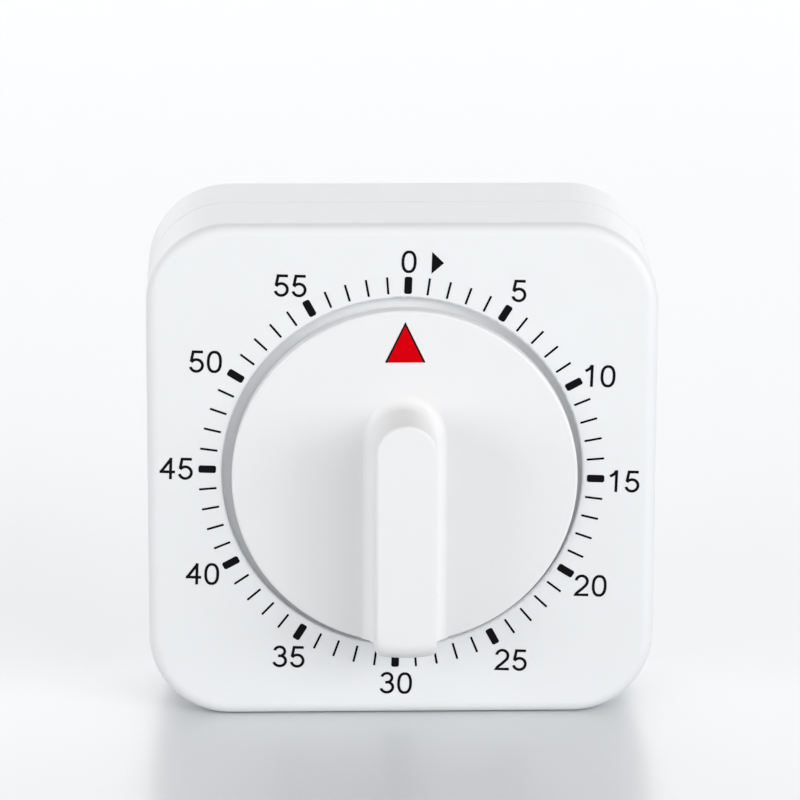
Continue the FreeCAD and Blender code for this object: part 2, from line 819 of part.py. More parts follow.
def loft(body, kind, base, top):
    feature = body.newObject("PartDesign::" + kind, body.Name + kind)
    feature.Profile = base
    feature.Sections = [top]
    feature.Ruled = True
    doc.recompute()
    return feature


def make_dial_knob():
    body = new_body("dial_knob", ON_DIAL)
    disc_sketch = new_sketch(body, S.dial_back)
    draw_circle(disc_sketch, S.dial_radius)
    solid = pad(body, disc_sketch, S.dial_face - S.dial_back)
    rim = edges_at(solid.Shape, S.dial_face)
    dress(body, "Fillet", solid, rim, "Radius", S.dial_edge_radius)

    past_rim = S.grip_foot_radius
    bar = new_profile(body, S.grip_end_rise)
    draw_flare(bar, True)
    pad(body, bar, S.grip_end_rise + S.dial_radius + past_rim)
    end = new_profile(body, S.grip_end_rise)
    draw_flare(end, False)
    turned = body.newObject("PartDesign::Revolution", body.Name + "Revolution")
    turned.Profile = end
    turned.ReferenceAxis = (end, ["V_Axis"])
    turned.Angle = 180
    doc.recompute()
    around = new_sketch(body, S.dial_face - S.dial_edge_radius)
    draw_circle(around, S.dial_radius)
    draw_circle(around, S.dial_radius + past_rim * 2)
    pocket(body, around, S.dial_edge_radius + S.grip_foot_radius * 2, forward=True)

    base = new_sketch(body, S.dial_face + S.grip_foot_radius)
    draw_grip(base, S.grip_base_half_width, S.dial_radius)
    top = new_sketch(body, S.grip_top)
    draw_grip(top, S.grip_top_half_width, S.dial_radius - S.grip_foot_inset)
    grip = loft(body, "AdditiveLoft", base, top)
    nose = [name for name in edges_at(grip.Shape, S.grip_top) if is_low(grip.Shape, name)]
    nosed = dress(body, "Fillet", grip, nose, "Radius", S.grip_nose_radius)
    sides = [name for name in edges_at(nosed.Shape, S.grip_top) if not is_low(nosed.Shape, name)]
    dress(body, "Fillet", nosed, sides, "Radius", S.grip_edge_radius)

    ring = new_sketch(body, S.dial_back)
    draw_circle(ring, S.dial_radius - S.dial_skin)
    draw_circle(ring, S.hub_radius)
    pocket(body, ring, S.dial_face - S.dial_skin - S.dial_back, forward=True)
    skin = S.dial_skin * 1.1
    inner_base = new_sketch(body, S.dial_face - S.dial_skin * 1.5)
    draw_grip(inner_base, S.grip_base_half_width - skin, S.dial_radius - S.dial_skin)
    inner_top = new_sketch(body, S.grip_top - S.dial_skin)
    draw_grip(inner_top, S.grip_top_half_width - skin * 0.8, S.dial_radius - S.grip_foot_inset - skin)
    loft(body, "SubtractiveLoft", inner_base, inner_top)
    hub = new_sketch(body, S.dial_back)
    draw_circle(hub, S.hub_radius)
    pad(body, hub, S.grip_top - S.dial_skin - S.dial_back)
    seat = new_sketch(body, S.dial_back)
    draw_flatted_circle(seat)
    pocket(body, seat, S.seat_depth, forward=True)
    mark = new_sketch(body, S.dial_face)
    draw_pointer(mark)
    pocket(body, mark, S.pointer_thickness)
    return body


def draw_flatted_circle(sketch):
    """The arbor's section: round, with one flat above."""
    radius = S.arbor_radius.number
    flat = S.arbor_flat.number
    start = math.pi - math.asin(flat / radius)
    end = 2 * math.pi + math.asin(flat / radius)
    circle = Part.Circle(Vector(), Vector(0, 0, 1), radius)
    arc = sketch.addGeometry(Part.ArcOfCircle(circle, start, end), False)
    line = Part.LineSegment(sketch.getPoint(arc, 2), sketch.getPoint(arc, 1))
    chord = sketch.addGeometry(line, False)
    sketch.addConstraint(Sketcher.Constraint("Coincident", arc, 2, chord, 1))
    sketch.addConstraint(Sketcher.Constraint("Coincident", chord, 2, arc, 1))
    sketch.addConstraint(Sketcher.Constraint("Coincident", arc, 3, -1, 1))
    sketch.addConstraint(Sketcher.Constraint("Horizontal", chord))
    constrain(sketch, "Radius", arc, S.arbor_radius)
    constrain(sketch, "DistanceY", -1, 1, chord, 1, S.arbor_flat)


def draw_pointer(sketch):
    """A triangle that points at the scale."""
    half = S.pointer_half_width.number
    low = S.pointer_base.number
    tip = Vector(0, S.pointer_tip.number, 0)
    left = Vector(-half, low, 0)
    right = Vector(half, low, 0)
    sides = [
        sketch.addGeometry(Part.LineSegment(start, end), False)
        for start, end in ((tip, left), (left, right), (right, tip))
    ]
    for n, side in enumerate(sides):
        sketch.addConstraint(Sketcher.Constraint("Coincident", side, 2, sides[(n + 1) % 3], 1))
    sketch.addConstraint(Sketcher.Constraint("PointOnObject", sides[0], 1, -2))
    sketch.addConstraint(Sketcher.Constraint("Horizontal", sides[1]))
    constrain(sketch, "DistanceY", -1, 1, sides[0], 1, S.pointer_tip)
    constrain(sketch, "DistanceY", -1, 1, sides[1], 1, S.pointer_base)
    constrain(sketch, "DistanceX", sides[1], 1, -1, 1, S.pointer_half_width)
    constrain(sketch, "DistanceX", -1, 1, sides[1], 2, S.pointer_half_width)


def make_pointer_inlay():
    body = new_body("pointer_inlay", ON_DIAL)
    mark = new_sketch(body, S.dial_face - S.pointer_thickness)
    draw_pointer(mark)
    pad(body, mark, S.pointer_thickness)
    return body


# ---------------------------------------------------------------- movement plates


def pivots():
    """Each arbor that runs in both plates: its spot and its rear pivot's radius."""
    small = S.pivot_radius.number
    spots = [(spot, small) for spot in (SECOND, THIRD, ESCAPE, PALLET, STRIKE)]
    return spots + [(HAMMER, S.staff_radius.number)]


def pillar_spots():
    shift = S.plate_shift.number
    reach = S.pillar_reach.number
    rise = S.pillar_rise.number
    return [(shift + x, y) for x in (-reach, reach) for y in (-rise, rise)]


def make_plate(label, width, back, main_hole, front):
    """A flat plate with holes for the pivots, the pillars and the screws."""
    body = new_body(label, ON_DIAL)
    outline = new_sketch(body, back)
    draw_rounded_square(outline, width, S.plate_height, S.plate_corner_radius, S.plate_shift)
    pad(body, outline, S.plate_thickness)
    holes = new_sketch(body, back + S.plate_thickness)
    draw_circle(holes, main_hole + S.running_clearance)
    for spot, rear in pivots():
        radius = S.pivot_radius.number if front else rear
        draw_circle(holes, S.running_clearance + radius, spot.x, spot.y)
    for x, y in pillar_spots():
        draw_circle(holes, S.pillar_stud_radius, x, y)
    if front:
        for x, y in four(S.fixing_reach, S.fixing_rise):
            draw_circle(holes, S.fixing_pilot_radius, x + S.plate_shift, y)
        stud = S.stop_pin_radius
        draw_circle(holes, stud, stop_pin_spot().x, stop_pin_spot().y)
        draw_circle(holes, S.lever_stud_radius * 0.7, LEVER.x, LEVER.y)
    else:
        draw_circle(holes, S.pillar_stud_radius, BELL.x, BELL.y)
    pocket(body, holes, S.plate_thickness)
    return body


def stop_pin_spot():
    return polar(S.stop_radius.number - 0.6, -90.0)


def make_plates():
    make_plate("front_plate", S.front_plate_width, S.front_plate_back, S.arbor_radius, True)
    make_plate("rear_plate", S.rear_plate_width, REAR_BACK, S.rear_pivot_radius, False)


def make_pillars():
    radius = S.pillar_stud_radius.number
    shape = disc(
        S.pillar_radius.number,
        S.rear_plate_front.number,
        (S.front_plate_back - S.rear_plate_front).number,
    )
    back = (REAR_BACK - S.nut_height).number
    shape = shape.fuse(disc(radius, back, FRONT_FACE.number - back))
    copies("plate_pillars", shape.removeSplitter(), pillar_spots(), ON_DIAL)
    corners = [polar(S.nut_radius.number, 60.0 * n) for n in range(7)]
    nut = extruded(Part.makePolygon(corners), back, S.nut_height.number)
    nut = nut.cut(disc(radius, back - 1, S.nut_height.number + 2))
    copies("pillar_nuts", nut, pillar_spots(), ON_DIAL)


def make_movement_screws():
    shape = screw_shape(
        S.fixing_radius.number,
        S.fixing_head_radius.number,
        S.fixing_head_height.number,
        S.fixing_length.number,
        1,
    )
    shape.translate(Vector(0, 0, S.front_plate_back.number))
    spots = [
        ((x + S.plate_shift).number, y.number) for x, y in four(S.fixing_reach, S.fixing_rise)
    ]
    return copies("movement_screws", shape, spots, ON_DIAL)


# ---------------------------------------------------------------- main arbor


def make_main_arbor():
    """The arbor that joins the dial, the main wheel, the cam and the mainspring."""
    flange_front = S.front_plate_back - S.end_shake
    arbor_front = S.dial_back + S.seat_depth - 0.1
    steps = [
        cylinder(S.rear_pivot_radius, REAR_BACK - 0.2, S.rear_plate_front),
        cylinder(S.arbor_radius, S.rear_plate_front + S.end_shake, arbor_front),
        cylinder(S.rear_pivot_radius, S.rear_plate_front, S.rear_plate_front + S.end_shake),
        cylinder(S.arbor_flange_radius, S.main_back + S.main_thickness, flange_front),
    ]
    whole = fused("main_arbor_turned", steps, Placement())
    flat = block(
        S.arbor_radius * 2,
        S.arbor_radius,
        S.dial_back,
        arbor_front + 1,
        0,
        S.arbor_flat + S.arbor_radius / 2,
    )
    return cut("main_arbor", whole, [flat], ON_DIAL)


def make_main_wheel():
    shape = wheel(
        int(S.main_teeth.number),
        S.main_module.number,
        S.main_back.number,
        S.main_thickness.number,
        S.arbor_radius.number,
        SECOND_ANGLE,
    )
    return feature("main_wheel", shape, ON_DIAL)


def make_clutch():
    """A three-armed spring washer and the collar that presses it against the main wheel."""
    back = S.clutch_back.number
    thickness = S.clutch_thickness.number
    shape = disc(S.collar_radius.number, back, thickness)
    for n in range(3):
        tip = polar(S.clutch_radius.number - 0.6, 30.0 + 120.0 * n)
        shape = shape.fuse(strip([Vector(0, 0, 0), tip], 1.2, back, thickness))
    bore = disc(S.arbor_radius.number, back - 1, thickness + 2)
    feature("clutch_spring", shape.cut(bore).removeSplitter(), ON_DIAL)
    ring = cylinder(S.collar_radius, S.collar_back, S.clutch_back)
    hole = cylinder(S.arbor_radius, S.collar_back - 1, S.clutch_back + 1)
    cut("clutch_collar", ring, [hole], ON_DIAL)


def make_release_cam():
    """A round cam with one notch, where the lever drops when the time is up."""
    high = S.cam_radius.number
    low = S.cam_notch_radius.number
    half = S.cam_notch_half_angle.number
    start = LEVER_ANGLE - half
    end = LEVER_ANGLE + half
    edges = [
        Part.Arc(polar(high, end), polar(high, LEVER_ANGLE + 180), polar(high, start)).toShape(),
        Part.makeLine(polar(high, start), polar(low, start + 4)),
        Part.Arc(polar(low, start + 4), polar(low, LEVER_ANGLE), polar(low, end - 4)).toShape(),
        Part.makeLine(polar(low, end - 4), polar(high, end)),
    ]
    shape = extruded(Part.Wire(edges), S.cam_back.number, S.cam_thickness.number)
    bore = disc(S.arbor_radius.number, S.cam_back.number - 1, 3)
    return feature("release_cam", shape.cut(bore), ON_DIAL)


def make_stops():
    """A finger on the arbor that meets a pin on the front plate at each end of the dial's travel."""
    pin = stop_pin_spot()
    clear = math.degrees((S.stop_width.number / 2 + S.stop_pin_radius.number) / pin.Length) + 0.3
    tip = polar(S.stop_radius.number, -90.0 - clear)
    back = (FRONT_FACE + S.stop_gap).number
    thickness = S.stop_thickness.number
    shape = disc(S.arbor_flange_radius.number - 0.4, back, thickness)
    shape = shape.fuse(strip([Vector(0, 0, 0), tip], S.stop_width.number, back, thickness))
    shape = shape.cut(disc(S.arbor_radius.number, back - 1, 3))
    feature("stop_finger", shape.removeSplitter(), ON_DIAL)
    length = (S.plate_thickness + S.stop_gap + S.stop_thickness).number
    stud = disc(S.stop_pin_radius.number, S.front_plate_back.number, length, pin.x, pin.y)
    feature("stop_pin", stud, ON_DIAL)


# ---------------------------------------------------------------- going train


def make_staff(label, spot):
    """A plain arbor with a pivot at each end, running in both plates."""
    front_shoulder = S.front_plate_back - S.end_shake
    rear_shoulder = S.rear_plate_front + S.end_shake
    steps = [
        cylinder(S.pivot_radius, REAR_BACK - 0.2, FRONT_FACE),
        cylinder(S.staff_radius, rear_shoulder, front_shoulder),
    ]
    return fused(label, steps, at(spot))


def make_going_train():
    """Second, third and escape wheels, each on an arbor with its own pinion."""
    staff = S.staff_radius.number
    thickness = S.wheel_thickness.number
    main_gap = SECOND_ANGLE + 180.0 + HALF_LEAF
    second_gap = THIRD_ANGLE + 180.0 + HALF_LEAF
    third_gap = ESCAPE_ANGLE + 180.0 + HALF_LEAF
    main_front = (S.main_back + S.main_thickness).number + 0.3

    make_staff("second_arbor", SECOND)
    leaf = pinion(S.main_module.number, S.main_back.number - 0.3, main_front, staff, main_gap)
    feature("second_pinion", leaf, at(SECOND))
    teeth = int(S.second_teeth.number)
    back = S.second_back.number
    disc_wheel = wheel(teeth, S.second_module.number, back, thickness, staff, THIRD_ANGLE)
    feature("second_wheel", disc_wheel, at(SECOND))

    make_staff("third_arbor", THIRD)
    leaf = pinion(S.second_module.number, back - 0.4, back + thickness + 0.4, staff, second_gap)
    feature("third_pinion", leaf, at(THIRD))
    teeth = int(S.third_teeth.number)
    back = S.third_back.number
    disc_wheel = wheel(teeth, S.third_module.number, back, thickness, staff, ESCAPE_ANGLE)
    feature("third_wheel", disc_wheel, at(THIRD))

    make_staff("escape_arbor", ESCAPE)
    leaf = pinion(S.third_module.number, back - 0.4, back + thickness + 0.4, staff, third_gap)
    feature("escape_pinion", leaf, at(ESCAPE))
    feature("escape_wheel", escape_wheel_shape(), at(ESCAPE))


def escape_wheel_shape():
    """A wheel with leaning, pointed teeth."""
    teeth = int(S.escape_teeth.number)
    tip = S.escape_radius.number
    root = tip * 0.72
    step = 360.0 / teeth
    points = []
    for n in range(teeth):
        lead = n * step + step / 2
        points += [polar(root, lead), polar(tip, lead + step * 0.55), polar(tip, lead + step * 0.7)]
    wire = Part.makePolygon(points + points[:1])
    back = S.escape_back.number
    thickness = S.wheel_thickness.number
    shape = extruded(wire, back, thickness)
    shape = shape.cut(disc(S.staff_radius.number, back - 1, thickness + 2))
    for n in range(4):
        spot = polar(root * 0.6, 90.0 * n)
        shape = shape.cut(disc(root * 0.22, back - 1, thickness + 2, spot.x, spot.y))
    return shape


def pallet_pin_spots():
    """The two pallet pins, from the pallet arbor's axis."""
    reach = S.pallet_pin_reach.number
    spots = []
    for side in (-1, 1):
        angle = PALLET_ANGLE + side * S.pallet_pin_angle.number
        spots.append(ESCAPE + polar(reach, angle) - PALLET)
    return spots


def make_balance():
    """The pallet anchor with its two pins, and the weighted bar that swings with it."""
    make_staff("pallet_arbor", PALLET)
    thickness = S.wheel_thickness.number
    back = S.escape_back.number + thickness + 0.2
    first, second = pallet_pin_spots()
    anchor = strip([first, Vector(0, 0, 0), second], 1.1, back, thickness)
    anchor = anchor.fuse(disc(1.6, back, thickness)).removeSplitter()
    anchor = anchor.cut(disc(S.staff_radius.number, back - 1, thickness + 2))
    pin = S.pallet_pin_radius.number
    for spot in (first, second):
        anchor = anchor.cut(disc(pin, back - 1, thickness + 2, spot.x, spot.y))
    feature("pallet_anchor", anchor, at(PALLET))
    length = thickness * 2 + 0.4
    low = S.escape_back.number - 0.1
    pins = disc(pin, low, length)
    copies("pallet_pins", pins, [(spot.x, spot.y) for spot in (first, second)], at(PALLET))

    low = S.bob_back.number
    depth = S.bob_thickness.number
    end = polar(S.bob_radius.number - S.bob_width.number / 2, PALLET_ANGLE + 90.0)
    bar = strip([-end, end], S.bob_width.number * 0.6, low, depth)
    for spot in (end, -end):
        bar = bar.fuse(disc(S.bob_width.number / 2, low, depth, spot.x, spot.y))
    bar = bar.removeSplitter().cut(disc(S.staff_radius.number, low - 1, depth + 2))
    feature("balance_weight", bar, at(PALLET))


# ---------------------------------------------------------------- mainspring barrel


def spiral_strip(inner, thickness, pitch, half_turns):
    """A flat spiral of half circles whose centres change sides, each wider than the last."""
    step = pitch / 2
    inside = []
    outside = []
    radius = inner
    centre = 0.0
    for n in range(half_turns):
        side = 1 if n % 2 == 0 else -1
        for radius_here, chain in ((radius, inside), (radius + thickness, outside)):
            start = Vector(centre + side * radius_here, 0, 0)
            top = Vector(centre, side * radius_here, 0)
            end = Vector(centre - side * radius_here, 0, 0)
            chain.append(Part.Arc(start, top, end).toShape())
        centre += side * step
        radius += step
    first = Part.makeLine(inside[0].Vertexes[0].Point, outside[0].Vertexes[0].Point)
    last = Part.makeLine(inside[-1].Vertexes[-1].Point, outside[-1].Vertexes[-1].Point)
    return Part.Wire(Part.__sortEdges__(inside + outside + [first, last]))


def make_barrel():
    """The toothed drum, its lid and the coiled mainspring between them."""
    teeth = int(S.barrel_teeth.number)
    back = S.barrel_back.number
    plate = S.barrel_plate.number
    front = S.barrel_front.number
    radius = S.barrel_radius.number
    bore = S.arbor_radius.number + S.running_clearance.number
    drum = wheel(teeth, S.barrel_module.number, back, plate, bore, STRIKE_ANGLE, windows=0)
    drum = drum.fuse(disc(radius, back + plate, front - back - plate))
    inside = radius - S.barrel_wall.number
    drum = drum.cut(disc(inside, back + plate, front - back))
    feature("spring_barrel", drum.removeSplitter(), ON_DIAL)

    lid = S.barrel_cover_thickness.number
    cover = disc(inside, front - lid, lid).cut(disc(bore, front - lid - 1, lid + 2))
    feature("barrel_cover", cover, ON_DIAL)
    low = back + plate + 0.2
    high = front - lid - 0.2
    wire = spiral_strip(
        S.spring_inner_radius.number,
        S.spring_thickness.number,
        S.spring_pitch.number,
        int(S.spring_turns.number) * 2,
    )
    feature("mainspring", extruded(wire, low, high - low), ON_DIAL)


# ---------------------------------------------------------------- strike train and bell


def make_strike_wheel():
    """The pinion that the barrel drives and the star that kicks the hammer."""
    make_staff("strike_arbor", STRIKE)
    staff = S.staff_radius.number
    gap = STRIKE_ANGLE + 180.0 + HALF_LEAF
    low = S.barrel_back.number - 0.4
    high = (S.barrel_back + S.barrel_plate).number + 0.3
    feature("strike_pinion", pinion(S.barrel_module.number, low, high, staff, gap), at(STRIKE))
    teeth = int(S.star_teeth.number)
    step = 360.0 / teeth
    points = []
    for n in range(teeth):
        points.append(polar(S.star_radius.number, n * step))
        points.append(polar(S.star_root.number, (n + 0.5) * step))
    wire = Part.makePolygon(points + points[:1])
    star = extruded(wire, S.star_back.number, S.star_thickness.number)
    star = star.cut(disc(staff, S.star_back.number - 1, 3))
    feature("strike_star", star, at(STRIKE))


def hammer_head_spot():
    """Where the head rests beside the bell's rim, from the hammer arbor's axis.

    The arm touches the circle on which the head just clears the rim, so the head moves straight
    away from the bell.
    """
    reach = S.bell_radius.number + S.hammer_head_radius.number + S.lever_gap.number
    to_arbor = HAMMER - BELL
    turn = math.degrees(math.acos(reach / to_arbor.Length))
    direction = math.degrees(math.atan2(to_arbor.y, to_arbor.x)) + turn
    return BELL + polar(reach, direction) - HAMMER


def make_hammer():
    """Verge between the plates, arm and head behind them, all on one arbor."""
    arm_back = S.hammer_arm_back
    steps = [
        cylinder(S.staff_radius, arm_back - 0.2, S.front_plate_back - S.end_shake),
        cylinder(S.pivot_radius, S.front_plate_back - S.end_shake, FRONT_FACE),
    ]
    fused("hammer_arbor", steps, at(HAMMER))
    back = S.star_back.number
    thickness = S.star_thickness.number
    near = STRIKE + polar(S.star_radius.number + 0.75, HAMMER_ANGLE + 40.0) - HAMMER
    far = STRIKE + polar(S.star_radius.number + 1.5, HAMMER_ANGLE - 40.0) - HAMMER
    verge = strip([near, Vector(0, 0, 0), far], S.verge_pin_radius.number * 2, back, thickness)
    verge = verge.fuse(disc(1.8, back, thickness)).removeSplitter()
    verge = verge.cut(disc(S.staff_radius.number, back - 1, thickness + 2))
    feature("hammer_verge", verge, at(HAMMER))

    head = hammer_head_spot()
    low = arm_back.number
    depth = S.hammer_arm_thickness.number
    arm = strip([Vector(0, 0, 0), head], 1.4, low, depth).fuse(disc(1.8, low, depth))
    arm = arm.removeSplitter().cut(disc(S.staff_radius.number, low - 1, depth + 2))
    arm = arm.cut(disc(0.6, low - 1, depth + 2, head.x, head.y))
    feature("hammer_arm", arm, at(HAMMER))
    length = S.hammer_head_length.number
    knob = disc(S.hammer_head_radius.number, low - length, length)
    knob = knob.makeFillet(0.5, [edge for edge in knob.Edges if edge.BoundBox.ZLength < 1e-6])
    knob = knob.fuse(disc(0.6, low, depth))
    copies("hammer_head", knob, [(head.x, head.y)], at(HAMMER))


def make_release_lever():
    """The lever that holds the star still until its nose drops into the cam's notch."""
    back = S.cam_back.number
    thickness = S.cam_thickness.number
    width = S.lever_width.number
    nose = NOSE - LEVER
    side = polar(1.0, LEVER_ANGLE)
    passing = nose + side * (width / 2 + S.cam_radius.number - S.cam_notch_radius.number)
    toward = (LEVER + passing - STRIKE).normalize()
    tab_radius = 0.5
    tip = STRIKE + toward * (S.star_radius.number + 0.35 + tab_radius) - LEVER
    arm = strip([Vector(0, 0, 0), passing, tip], width, back, thickness)
    bump = strip([passing, nose + side * 0.4], 0.8, back, thickness)
    shape = arm.fuse(bump).fuse(disc(S.lever_hub_radius.number, back, thickness))
    low = S.star_back.number
    shape = shape.fuse(disc(tab_radius, low, back - low, tip.x, tip.y))
    bore = S.lever_stud_radius.number + S.running_clearance.number
    shape = shape.removeSplitter().cut(disc(bore, back - 1, thickness + 2))
    feature("release_lever", shape, at(LEVER))
    steps = [
        cylinder(S.lever_stud_radius, S.cam_back - 0.2, S.front_plate_back),
        cylinder(S.lever_stud_radius * 1.6, S.cam_back - 0.6, S.cam_back - 0.15),
        cylinder(S.lever_stud_radius * 0.7, S.front_plate_back, FRONT_FACE),
    ]
    fused("lever_stud", steps, at(LEVER))


def make_bell():
    """A pressed steel gong on a post behind the movement."""
    rim = S.bell_rim.number
    crown = S.bell_crown.number
    radius = S.bell_radius.number
    skin = S.bell_thickness.number
    outer = disc(radius, crown, rim - crown)
    outer = outer.makeFillet(S.bell_edge_radius.number, [outer_edge(outer, crown)])
    inner = disc(radius - skin, crown + skin, rim - crown)
    inner = inner.makeFillet(S.bell_edge_radius.number - skin, [outer_edge(inner, crown + skin)])
    stud = S.pillar_stud_radius.number
    shell = outer.cut(inner).cut(disc(stud, crown - 1, skin + 2))
    feature("bell", shell, at(BELL))
    steps = [
        cylinder(S.bell_post_radius, S.bell_crown + S.bell_thickness, REAR_BACK),
        cylinder(S.pillar_stud_radius, REAR_BACK, S.rear_plate_front),
    ]
    whole = fused("bell_post_turned", steps, Placement())
    thread = cylinder(S.pillar_stud_radius, S.bell_crown, S.bell_crown + 3.0)
    cut("bell_post", whole, [thread], at(BELL))
    screw = screw_shape(S.pillar_stud_radius.number, 2.2, 1.0, 2.9, 1)
    screw.translate(Vector(0, 0, crown))
    feature("bell_screw", screw, at(BELL))


def outer_edge(shape, forward):
    """The circle of a disc at one height."""
    flat = [edge for edge in shape.Edges if edge.BoundBox.ZLength < 1e-6]
    return next(edge for edge in flat if abs(edge.BoundBox.ZMin - forward) < 1e-6)


def report_joints():
    """Prints each axis, in the row's millimetres, for the joints."""
    for name, spot in (
        ("dial", Vector(0, 0, 0)),
        ("second", SECOND),
        ("third", THIRD),
        ("escape", ESCAPE),
        ("pallet", PALLET),
        ("strike", STRIKE),
        ("hammer", HAMMER),
        ("lever", LEVER),
        ("bell", BELL),
    ):
        print(f"axis {name}: x {DIAL_AT.x + spot.x:.4f} z {DIAL_AT.y + spot.y:.4f}")


def export():
    """Checks every object and writes one file for each sub-part."""
    doc.recompute()
    for thing in doc.Objects:
        if "Invalid" in thing.State or "Error" in thing.State:
            raise RuntimeError(f"{thing.Label} failed: {thing.State}")
    os.makedirs("parts", exist_ok=True)
    inner = {child.Name for thing in doc.Objects for child in thing.OutList}
    for thing in doc.Objects:
        is_part = thing.isDerivedFrom("Part::Feature") and thing.Name not in inner
        if not is_part:
            continue
        if thing.Shape.isNull() or not thing.Shape.isValid():
            raise RuntimeError(f"{thing.Label} has no valid shape")
        thing.Shape.exportStep(f"parts/{thing.Label}.step")
        print(f"{thing.Label}: {len(thing.Shape.Solids)} solid, {thing.Shape.Volume:.1f} mm3")


make_front_shell()
make_back_cover()
make_case_screws()
make_dial_knob()
make_pointer_inlay()
make_plates()
make_pillars()
make_movement_screws()
make_main_arbor()
make_main_wheel()
make_clutch()
make_release_cam()
make_stops()
make_going_train()
make_balance()
make_barrel()
make_strike_wheel()
make_hammer()
make_release_lever()
make_bell()
report_joints()
export()
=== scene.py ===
import json
import math

import bmesh
import bpy
from mathutils import Matrix, Vector


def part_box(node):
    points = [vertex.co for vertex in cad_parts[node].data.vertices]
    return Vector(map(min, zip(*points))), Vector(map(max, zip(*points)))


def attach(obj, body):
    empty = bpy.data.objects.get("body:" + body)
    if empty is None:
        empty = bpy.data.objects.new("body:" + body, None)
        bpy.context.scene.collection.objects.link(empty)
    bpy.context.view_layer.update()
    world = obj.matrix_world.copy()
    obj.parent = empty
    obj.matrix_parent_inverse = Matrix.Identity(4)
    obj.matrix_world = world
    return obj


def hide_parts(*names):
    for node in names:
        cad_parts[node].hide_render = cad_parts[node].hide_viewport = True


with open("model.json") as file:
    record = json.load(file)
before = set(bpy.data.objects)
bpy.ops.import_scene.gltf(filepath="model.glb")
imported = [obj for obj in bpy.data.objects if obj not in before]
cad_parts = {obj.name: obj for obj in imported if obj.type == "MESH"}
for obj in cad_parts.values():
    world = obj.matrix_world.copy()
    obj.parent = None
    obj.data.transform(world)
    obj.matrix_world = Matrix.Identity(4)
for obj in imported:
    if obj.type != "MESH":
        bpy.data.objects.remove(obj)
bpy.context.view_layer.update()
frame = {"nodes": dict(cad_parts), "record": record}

# A 60 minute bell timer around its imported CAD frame. Lengths are given in millimetres and turned
# into metres by mm(). +Z is up, the dial faces -Y, and every drawing of the front is made in
# (x, z) as seen from there.


def mm(length):
    return length / 1000.0


def node_box(node):
    """The lowest and highest corner of a CAD node, in millimetres."""
    low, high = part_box(node)
    return [c * 1000.0 for c in low], [c * 1000.0 for c in high]


# ---------------------------------------------------------------- sizes, read from the frame

SHELL_LOW, SHELL_HIGH = node_box("front_shell")
KNOB_LOW, KNOB_HIGH = node_box("dial_knob")
MARK_LOW, MARK_HIGH = node_box("pointer_inlay")
FACE_Y = SHELL_LOW[1]
CASE_MIDDLE = (SHELL_LOW[2] + SHELL_HIGH[2]) / 2
DIAL_RADIUS = (KNOB_HIGH[0] - KNOB_LOW[0]) / 2
DIAL_X = (KNOB_LOW[0] + KNOB_HIGH[0]) / 2
DIAL_Z = (KNOB_LOW[2] + KNOB_HIGH[2]) / 2
DIAL_BACK = -KNOB_HIGH[1]
DIAL_FACE = -MARK_LOW[1]
GRIP_TOP = -KNOB_LOW[1]

# ---------------------------------------------------------------- materials


def material(name):
    """An empty node material: (material, node tree, its Principled shader)."""
    made = bpy.data.materials.new(name)
    made.use_nodes = True
    tree = made.node_tree
    return made, tree, tree.nodes["Principled BSDF"]


def noise(tree, scale, detail, stretch=None):
    """Noise in object coordinates, in cells per metre, perhaps stretched along the axes."""
    source = tree.nodes.new("ShaderNodeTexCoord").outputs["Object"]
    if stretch:
        scaled = tree.nodes.new("ShaderNodeMapping")
        scaled.inputs["Scale"].default_value = stretch
        tree.links.new(source, scaled.inputs["Vector"])
        source = scaled.outputs["Vector"]
    grain = tree.nodes.new("ShaderNodeTexNoise")
    grain.inputs["Scale"].default_value = scale
    grain.inputs["Detail"].default_value = detail
    tree.links.new(source, grain.inputs["Vector"])
    return grain.outputs["Fac"]


def ranged(tree, source, low, high):
    """The source's 0..1 spread over low..high."""
    spread = tree.nodes.new("ShaderNodeMapRange")
    spread.inputs["To Min"].default_value = low
    spread.inputs["To Max"].default_value = high
    tree.links.new(source, spread.inputs["Value"])
    return spread.outputs["Result"]


def tinted(tree, source, first, second):
    """A colour between two, chosen by the source."""
    mix = tree.nodes.new("ShaderNodeMix")
    mix.data_type = "RGBA"
    mix.inputs["A"].default_value = (*first, 1)
    mix.inputs["B"].default_value = (*second, 1)
    tree.links.new(source, mix.inputs["Factor"])
    return mix.outputs["Result"]


def bumped(tree, shader, source, distance, strength=1.0):
    """Gives the shader a surface raised by the source, up to a distance in metres."""
    bump = tree.nodes.new("ShaderNodeBump")
    bump.inputs["Distance"].default_value = distance
    bump.inputs["Strength"].default_value = strength
    tree.links.new(source, bump.inputs["Height"])
    tree.links.new(bump.outputs["Normal"], shader.inputs["Normal"])


def plastic(name, colour, shade, low_gloss, high_gloss, grain=2500.0, depth=4e-6, ior=1.49):
    """Moulded plastic: a faint clouding of its colour, an uneven gloss and a fine grain."""
    made, tree, shader = material(name)
    cloud = noise(tree, 60.0, 2.0)
    tree.links.new(tinted(tree, cloud, colour, shade), shader.inputs["Base Color"])
    wear = noise(tree, 300.0, 4.0)
    tree.links.new(ranged(tree, wear, low_gloss, high_gloss), shader.inputs["Roughness"])
    bumped(tree, shader, noise(tree, grain, 2.0), depth)
    shader.inputs["IOR"].default_value = ior
    return made


def metal(name, colour, shade, low_rough, high_rough, stretch=(1.0, 1.0, 1.0), depth=3e-6):
    """Drawn or rolled metal, whose grain may be stretched into brush marks."""
    made, tree, shader = material(name)
    grain = noise(tree, 900.0, 4.0, stretch)
    tree.links.new(tinted(tree, grain, colour, shade), shader.inputs["Base Color"])
    tree.links.new(ranged(tree, grain, low_rough, high_rough), shader.inputs["Roughness"])
    bumped(tree, shader, grain, depth, 0.5)
    shader.inputs["Metallic"].default_value = 1.0
    return made


